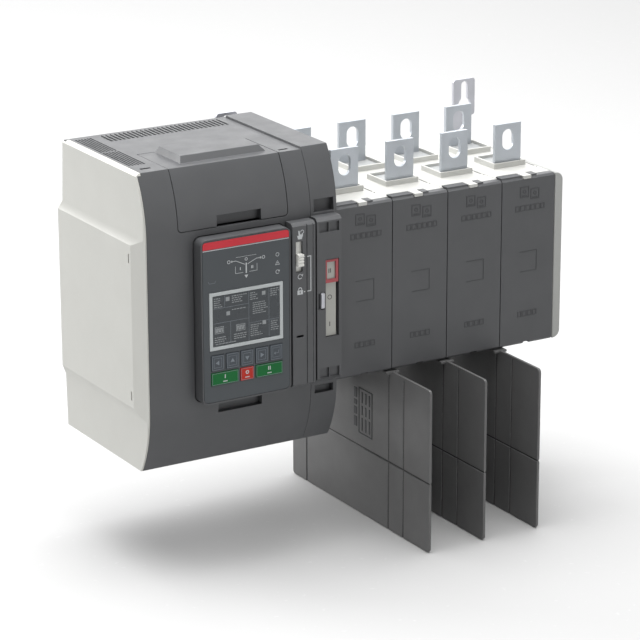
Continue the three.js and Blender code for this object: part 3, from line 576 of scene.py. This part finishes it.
def parameter_table():
    """The printed table inside the frame: rules, rows of short bars in place of words, sample symbols.

    Places in it are measured to the right and down from the panel's upper left corner."""
    low, high = box_mm("display_panel")
    level = low.y
    middle = low.x + 30.1
    third = low.x + 47.2
    rule = 0.25
    row_pitch, row_height, word_gap = 1.62, 0.6, 0.5
    rng = random.Random(7)
    rules = Drawing("table_rules", "display_unit", "y", level, THIN_PRINT)
    rules.bar(low.x + 0.4, middle, high.z - 9.6, high.z - 9.35)
    rules.bar(low.x + 0.4, middle, high.z - 20.9, high.z - 20.65)
    rules.bar(middle, middle + rule, low.z + 0.6, high.z - 0.4)
    rules.bar(third, third + rule, low.z + 0.6, high.z - 0.4)
    rules.bar(middle, high.x - 0.4, high.z - 24.9, high.z - 24.65)
    rules.bar(low.x + 9.8, low.x + 10.05, high.z - 9.4, high.z - 0.4)
    rules.bar(low.x + 14.6, low.x + 14.85, low.z + 0.6, high.z - 20.8)
    rules.done("ink_grey")

    rows = Drawing("table_rows", "display_unit", "y", level, THIN_PRINT)
    # Blocks of rows: start, drop, number of rows, greatest length.
    blocks = [
        (0.9, 1.6, 5, 7.2), (16.0, 1.4, 4, 12.4), (16.0, 11.8, 1, 12.6), (31.4, 1.6, 4, 6.6),
        (48.6, 1.2, 4, 7.4), (33.5, 9.6, 6, 12.6), (31.6, 26.4, 6, 10.4), (48.8, 26.2, 5, 7.2),
        (1.2, 31.6, 3, 9.8), (17.4, 31.2, 3, 10.6), (2.0, 36.6, 1, 26.0),
    ]
    for start, drop, count, length in blocks:
        for row in range(count):
            v = high.z - drop - row_pitch * row
            u = low.x + start
            reach = length * rng.uniform(0.62, 1.0)
            while u < low.x + start + reach - 0.6:
                word = rng.uniform(0.9, 2.6)
                rows.bar(u, min(u + word, low.x + start + length), v - row_height, v)
                u += word + word_gap
    rows.done("ink_soft")

    squares = Drawing("table_squares", "display_unit", "y", level, FILM)
    for u, v, size in ((12.4, 3.3, 3.2), (12.8, 14.4, 3.0), (42.9, 3.4, 3.0), (43.2, 26.2, 3.0)):
        x, z, half = low.x + u, high.z - v, size / 2
        squares.bar(x - half, x + half, z - half, z + half)
    for shift, (u, v) in enumerate(((5.2, 26.2), (23.2, 26.8))):
        centre, z = low.x + u, high.z - v
        squares.outline(centre - 3.8, centre + 3.8, z - 2.6, z + 2.6, 0.4)
        for step in range(5):
            x = centre - 3.1 + 1.28 * step
            lift = 0.9 if (step + shift) % 2 else -1.0
            squares.bar(x, x + 0.85, z - 1.7, z + 1.7)
            squares.bar(x + 0.9, x + 1.2, z + lift - 0.4, z + lift + 0.4)
    squares.done("ink_soft")


def menu_key_signs(index):
    """A double outline and an arrow: left, up, down, right, and a return arrow on the last key."""
    key = f"menu_key_{index}"
    low, high = box_mm(key)
    x, z = (low.x + high.x) / 2, (low.z + high.z) / 2
    edge = Drawing(f"{key}_outline", key, "y", low.y, THIN_PRINT)
    edge.outline(low.x + 0.5, high.x - 0.5, low.z + 0.5, high.z - 0.5, 0.28)
    edge.outline(low.x + 2.0, high.x - 2.0, low.z + 2.2, high.z - 2.2, 0.22)
    edge.done("ink_grey")
    sign = Drawing(f"{key}_sign", key, "y", low.y, PRINT)
    turn = {1: 180, 2: 90, 3: 270, 4: 0, 5: None}[index]
    if turn is None:
        sign.stroke([(x + 1.8, z + 1.6), (x + 1.8, z - 0.6), (x - 1.0, z - 0.6)], 0.4)
        sign.face([(x - 2.2, z - 0.6), (x - 0.8, z - 1.7), (x - 0.8, z + 0.5)])
    else:
        way = Vector((math.cos(math.radians(turn)), math.sin(math.radians(turn))))
        side = Vector((-way.y, way.x))
        tip = Vector((x, z)) + way * 1.9
        tail = Vector((x, z)) - way * 1.1
        sign.face([tuple(tip), tuple(tail + side * 1.8), tuple(tail - side * 1.8)])
    sign.done("ink_grey")


def source_key_signs(key, kind):
    """An outline, the position mark and a short bar below it."""
    low, high = box_mm(key)
    x, z = (low.x + high.x) / 2, (low.z + high.z) / 2
    edge = Drawing(f"{key}_outline", key, "y", low.y, THIN_PRINT)
    edge.outline(low.x + 0.4, high.x - 0.4, low.z + 0.4, high.z - 0.4, 0.3)
    edge.done("ink_grey")
    mark = Drawing(f"{key}_mark", key, "y", low.y, PRINT)
    numeral(mark, kind, x, z + 1.2, 2.9, 0.75)
    mark.bar(x - 1.8, x + 1.8, z - 2.9, z - 2.2)
    mark.done("ink_light")


fascia_stripe()
mimic_diagram()
status_symbols()
service_port_mark()
parameter_table()
for index in range(1, 6):
    menu_key_signs(index)
for key, kind in (("source_one_key", "I"), ("off_key", "O"), ("source_two_key", "II")):
    source_key_signs(key, kind)


# ------------------------------------------------------------------ selector strip and position column

def selector_signs():
    """Hand, circling arrow and padlock beside the slider, and the bracket that joins two of its places."""
    low, high = box_mm("selector_panel")
    x = low.x + 6.3
    signs = Drawing("selector_signs", "frame", "y", low.y, FILM)
    hand = high.z - 9
    signs.face([
        (x - 2.4, hand - 0.4), (x - 1.6, hand - 3.2), (x + 1.5, hand - 3.4), (x + 2.6, hand - 0.8),
        (x + 2.6, hand + 1.0), (x + 1.7, hand + 1.1), (x + 1.5, hand + 0.2), (x + 0.3, hand + 0.3),
        (x - 0.4, hand + 3.4), (x - 1.4, hand + 3.2), (x - 1.0, hand - 0.4),
    ])
    signs.arc(x + 2.0, hand + 2.2, 1.5, 0.45, -60, 190)
    auto = high.z - 41.2
    signs.arc(x, auto, 2.0, 0.55, 35, 325)
    signs.face([(x + 0.7, auto + 1.3), (x + 2.7, auto + 1.7), (x + 2.0, auto - 0.4)])
    lock = high.z - 53
    signs.bar(x - 2.3, x + 2.3, lock - 2.2, lock + 1.1)
    signs.stroke([
        (x - 1.3, lock + 1.2), (x - 1.3, lock + 2.3), (x - 0.6, lock + 3.1),
        (x + 0.6, lock + 3.1), (x + 1.3, lock + 2.3), (x + 1.3, lock + 1.2),
    ], 0.6)
    bracket = high.x - 4.2
    upper, lower = high.z - 26.4, high.z - 53.4
    signs.stroke([
        (bracket - 3.2, upper), (bracket, upper), (bracket, lower), (bracket - 3.2, lower),
    ], 0.7)
    for z in (upper, lower):
        signs.bar(bracket - 6.0, bracket - 5.0, z - 0.35, z + 0.35)
    signs.done("ink_light")

    keyhole = Drawing("lock_sign_keyhole", "frame", "y", low.y - FILM, THIN_PRINT)
    keyhole.disc(x, lock - 0.2, 0.5)
    keyhole.bar(x - 0.22, x + 0.22, lock - 1.5, lock - 0.4)
    keyhole.done("ink_dark")


def position_marks():
    """II, O and I on the scale plate."""
    low, high = box_mm("indicator_plate")
    x = (low.x + high.x) / 2 - 0.6
    marks = Drawing("position_marks", "frame", "y", low.y, PRINT)
    numeral(marks, "II", x, low.z + 51.0, 3.4, 0.75)
    numeral(marks, "O", x, low.z + 30.3, 3.8, 0.5)
    numeral(marks, "I", x, low.z + 9.2, 3.6, 0.7)
    marks.done("ink_dark")


selector_signs()
position_marks()


# ------------------------------------------------------------------ moulded marks, and painted shade in groove and slit lines

POLES = range(1, 5)
BARRIERS = range(1, 4)
COVER_RELIEF = 0.25
TAG_RELIEF = 0.3


def raised_row(drawing, start, bottom, widths):
    """A row of small outlined blocks in place of a moulded word."""
    height, line, gap = 4.6, 0.75, 0.55
    for width in widths:
        drawing.outline(start, start + width, bottom, bottom + height, line)
        start += width + gap


def pole_cover_relief(number):
    """Two framed symbols, a row of blocks, an open square and a second row of blocks."""
    low = box_mm(f"pole_cover_{number}")[0]
    left = low.x - 0.35
    relief = Drawing(f"pole_cover_{number}_relief", "frame", "y", low.y, COVER_RELIEF)
    for u, v in ((21.2, 56.2), (31.0, 54.0)):
        relief.outline(left + u - 4.1, left + u + 4.1, v - 4.4, v + 4.4, 0.7)
        relief.arc(left + u, v + 0.4, 1.6, 0.6)
        relief.bar(left + u - 2.4, left + u + 2.4, v - 3.2, v - 2.5)
    raised_row(relief, left + 12.8, 41.0, (4.1, 4.5, 4.1, 4.1, 4.2, 3.7))
    relief.stroke([
        (left + 17.4, 8.0), (left + 33.6, 8.0), (left + 33.6, -8.2), (left + 18.0, -8.2),
    ], 0.45)
    raised_row(relief, left + 16.6, -45.2, (3.6, 4.4, 4.3, 4.1))
    relief.done("moulded_mark")


def barrier_groove_shade(number):
    """Painted shade on the floors of the break-off groove lines, on both faces of the plate."""
    low, high = box_mm(f"phase_barrier_{number}")
    seam = (low.x + high.x) / 2
    half_plate, groove_depth, half_groove, lining = 1.1, 0.6, 0.55, 0.08
    across_z = -144.2
    upright_y = (-22.8, -147.5, -169)
    gap, end_gap, top_gap = 0.25, 0.4, 2.3
    faces = (
        ("left", seam - half_plate + groove_depth, lining),
        ("right", seam + half_plate - groove_depth, -lining),
    )
    # Dark strips just above each groove floor, as painted shade.
    for side, level, raise_by in faces:
        lines = Drawing(f"phase_barrier_{number}_{side}_grooves", "frame", "x", level, raise_by)
        bottom, top = across_z - half_groove, across_z + half_groove
        lines.bar(low.y + end_gap, high.y - end_gap, bottom, top)
        for y in upright_y:
            lines.bar(y - half_groove, y + half_groove, low.z + end_gap, bottom - gap)
            lines.bar(y - half_groove, y + half_groove, top + gap, high.z - top_gap)
        lines.done("groove_shadow")


def barrier_tag():
    """A framed field of plain blocks on the first barrier."""
    face = box_mm("phase_barrier_1")[0].x + 4.6
    tag = Drawing("phase_barrier_1_relief", "frame", "x", face, TAG_RELIEF)
    tag.outline(-123.5, -103.5, -133.5, -95.5, 0.8)
    for y in (-120.0, -114.6, -109.2):
        for start, end in ((-130.5, -120), (-117.5, -110), (-107.5, -98.5)):
            tag.bar(y, y + 1.5, start, end)
    for start, end in ((-129, -121), (-119, -113), (-111, -107), (-105, -97)):
        tag.bar(-100.8, -96.6, start, end)
    tag.done("moulded_mark")


def housing_slit_shade():
    """Painted shade of short slit lines and round marks in the top of the pole housings, along the seams
    beside the collars: dark strips and dots laid on the top.
    """
    housing_top = box_mm("pole_cover_1")[1].z - 1.35
    length = 13
    # Flat dark marks as painted shade, not cut into the housing.
    slit_shade = Drawing("housing_slit_shade", "frame", "z", housing_top, FILM)
    for number in POLES:
        right = box_mm(f"pole_housing_{number}")[1].x
        for y in (-123.5, -56.5):
            slit_shade.bar(right - 2.2, right - 1.3, y, y + length)
            slit_shade.disc(right - 1.75, y - 3.4, 0.7)
    slit_shade.done("groove_shadow")


for number in POLES:
    pole_cover_relief(number)
for number in BARRIERS:
    barrier_groove_shade(number)
barrier_tag()
housing_slit_shade()


# ------------------------------------------------------------------ seals round the copper

# The inner edges of each row of collars in Y.
COLLARS = {"front": (-116.3, -91.3), "rear": (-67.4, -42.4), "load": (-92.1, -66.6)}


def terminal_seal(row, number):
    """Fills the collar round one terminal, but for a small gap to the copper. Its grey, below the housing
    cream, is painted shade.
    """
    leg, gap, thickness = 3, 0.3, 0.8
    below_top, above_bottom = 3.2, 2.4
    to_left, to_right = 12.2, 13.8
    low, high = box_mm(f"{row}_terminal_{number}")
    housing_low, housing_high = box_mm(f"pole_housing_{number}")
    copper = {"front": (low.y, low.y + leg), "rear": (high.y - leg, high.y), "load": (low.y, high.y)}
    near, far = copper[row]
    level = housing_low.z + above_bottom if row == "load" else housing_high.z - below_top
    middle = (low.x + high.x) / 2
    left, right = middle - to_left, middle + to_right
    seal = Drawing(f"{row}_terminal_seal_{number}", "frame", "z", level, thickness)
    seal.bar(left, right, COLLARS[row][0], near - gap)
    seal.bar(left, right, far + gap, COLLARS[row][1])
    if high.x + gap < right:
        seal.bar(high.x + gap, right, near - gap, far + gap)
    seal.done("seal_plastic_painted_shade")


for number in POLES:
    for row in COLLARS:
        terminal_seal(row, number)


# ------------------------------------------------------------------ fastenings and parts inside

# A screw head of radius 1: its outline from the middle to the rim as (radius, height), then its recess,
# which is two crossed bars drawn just above the flat middle.
SCREW_PROFILE = [(0.35, 0.45), (0.75, 0.38), (0.95, 0.22), (1.0, 0.0)]
SCREW_SIDES = 20
RECESS = [(-0.55, -0.09), (0.55, -0.09), (0.55, 0.09), (-0.55, 0.09)]
RECESS_HEIGHT = 0.47
SCREW_SHARP = 40


def screw_head(bm, place, radius):
    """A pan head with a cross recess, as faces in bm. It looks along the place's Z."""
    def corner(u, v, height):
        return bm.verts.new(place @ (Vector((u, v, height)) * radius * MM))

    around = [2 * math.pi * k / SCREW_SIDES for k in range(SCREW_SIDES)]
    centre = corner(0, 0, SCREW_PROFILE[0][1])
    rings = [
        [corner(math.cos(t) * share, math.sin(t) * share, height) for t in around]
        for share, height in SCREW_PROFILE
    ]
    for k in range(SCREW_SIDES):
        bm.faces.new((centre, rings[0][k], rings[0][(k + 1) % SCREW_SIDES]))
    for inner, outer in zip(rings, rings[1:]):
        for k in range(SCREW_SIDES):
            after = (k + 1) % SCREW_SIDES
            bm.faces.new((inner[k], outer[k], outer[after], inner[after]))
    for arm in (0, 90):
        c, s = math.cos(math.radians(arm)), math.sin(math.radians(arm))
        bm.faces.new([corner(u * c - v * s, u * s + v * c, RECESS_HEIGHT) for u, v in RECESS])


def screw_heads(name, places, radius, out):
    """Screw heads at the places, in millimetres, all looking the way out says."""
    bm = bmesh.new()
    turn = Vector(out).to_track_quat("Z", "Y").to_matrix().to_4x4()
    for place in places:
        screw_head(bm, Matrix.Translation(Vector(place) * MM) @ turn, radius)
    for face in bm.faces:
        face.smooth = True
    mesh = bpy.data.meshes.new(name)
    bm.to_mesh(mesh)
    bm.free()
    mesh.set_sharp_from_angle(angle=math.radians(SCREW_SHARP))
    piece = bpy.data.objects.new(name, mesh)
    bpy.context.scene.collection.objects.link(piece)
    piece.data.materials.append(INKS["screw_steel"])
    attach(piece, "frame")


def terminal_strip_screws():
    """A row of screws along the terminal strip, facing up."""
    low, high = box_mm("terminal_strip")
    count, end_gap = 10, 4.5
    first, last = low.x + end_gap, high.x - end_gap
    places = [(first + (last - first) * k / (count - 1), low.y + 4, high.z - 8.0) for k in range(count)]
    screw_heads("terminal_strip_screws", places, 1.7, (0, 0, 1))


def motor_screws():
    """Four screws at the corners of the motor's flange."""
    low, high = box_mm("drive_motor")
    y, z = (low.y + high.y) / 2, (low.z + high.z) / 2
    off_axis = 14.5
    places = [(high.x - 2.6, y + a * off_axis, z + b * off_axis) for a in (-1, 1) for b in (-1, 1)]
    screw_heads("motor_screws", places, 1.8, (-1, 0, 0))


def board_parts():
    """Chips and small parts scattered over the lower half of the control board."""
    count, thickness, sizes = 46, 1.1, ((2.4, 1.2), (1.6, 1.0), (4.2, 3.2), (3.0, 1.5))
    low, high = box_mm("control_board")
    rng = random.Random(11)
    chips = Drawing("board_parts", "frame", "y", high.y - 1.6, thickness)
    for _ in range(count):
        u = rng.uniform(low.x + 4, high.x - 6)
        v = rng.uniform(low.z + 3, low.z + 36)
        length, width = rng.choice(sizes)
        chips.bar(u, u + length, v, v + width)
    chips.done("black_plastic")


terminal_strip_screws()
motor_screws()
board_parts()


# ------------------------------------------------------------------ floor, light and camera

CENTRE = (cad_box[0] + cad_box[1]) / 2
FLOOR_HALF = 12
FLOOR_Z = cad_box[0].z - 0.5 * MM

# Even light all round, soft light from above, a strong softbox behind on the left, weaker ones behind on
# the right and in front. Each is name, offset from the middle of the object, size and watts.
AMBIENT = 0.2
SOFTBOXES = [
    ("top_light", (-0.1, 0.1, 2.2), (2.4, 2.4), 118),
    ("left_light", (-1.6, 2.3, 1.2), (1.6, 1.6), 84),
    ("back_light", (1.5, 2.5, 1.1), (3.2, 1.4), 36),
    ("front_light", (0.9, -2.4, 0.5), (1.8, 1.8), 15),
]

# The camera stands in front on the left, a little above the object, with a long lens. Its distance is in
# metres from the point that it aims at.
AZIMUTH = math.radians(30.83)
ELEVATION = math.radians(17.705)
ROLL = math.radians(0.146)
DISTANCE = 2.2516
AIM = Vector((-0.0392, -0.150, -0.0173))
FOCAL_LENGTH = 167.97
SENSOR_WIDTH = 36


def floor():
    """A sheet of grey paper just below the object."""
    mesh = bpy.data.meshes.new("floor")
    bm = bmesh.new()
    bmesh.ops.create_grid(bm, x_segments=2, y_segments=2, size=FLOOR_HALF)
    bm.to_mesh(mesh)
    bm.free()
    sheet = bpy.data.objects.new("floor", mesh)
    sheet.location = (0, 0, FLOOR_Z)
    bpy.context.scene.collection.objects.link(sheet)
    grey = (0.5, 0.5, 0.5)
    paper = plastic("floor_paper", grey, 0.85, 0.0, grain=300, depth=0.05, wear_and_highlight=1.0, specular=0.1)
    sheet.data.materials.append(paper)


def studio_world():
    """White light from all sides."""
    world = bpy.data.worlds.new("studio")
    bpy.context.scene.world = world
    world.use_nodes = True
    background = world.node_tree.nodes["Background"]
    background.inputs["Color"].default_value = (1, 1, 1, 1)
    background.inputs["Strength"].default_value = AMBIENT


def softbox(name, offset, size, power):
    """A rectangular light that looks at the middle of the object."""
    light = bpy.data.lights.new(name, "AREA")
    light.shape = "RECTANGLE"
    light.size, light.size_y = size
    light.energy = power
    lamp = bpy.data.objects.new(name, light)
    lamp.location = CENTRE + Vector(offset)
    lamp.rotation_mode = "QUATERNION"
    lamp.rotation_quaternion = (-Vector(offset)).to_track_quat("-Z", "Y")
    bpy.context.scene.collection.objects.link(lamp)


def camera():
    """The photo's view, as solved from it."""
    lens = bpy.data.cameras.new("camera")
    lens.sensor_width = SENSOR_WIDTH
    lens.lens = FOCAL_LENGTH
    lens.clip_start = 0.05
    lens.clip_end = 60
    viewer = bpy.data.objects.new("camera", lens)
    level = math.cos(ELEVATION)
    toward = Vector((math.sin(AZIMUTH) * level, math.cos(AZIMUTH) * level, -math.sin(ELEVATION)))
    turn = toward.to_track_quat("-Z", "Y").to_matrix() @ Matrix.Rotation(-ROLL, 3, "Z")
    viewer.matrix_world = Matrix.Translation(AIM - toward * DISTANCE) @ turn.to_4x4()
    bpy.context.scene.collection.objects.link(viewer)
    bpy.context.scene.camera = viewer
    bpy.context.scene.view_settings.view_transform = "Standard"


floor()
studio_world()
for name, offset, size, power in SOFTBOXES:
    softbox(name, offset, size, power)
camera()

bpy.context.view_layer.update()
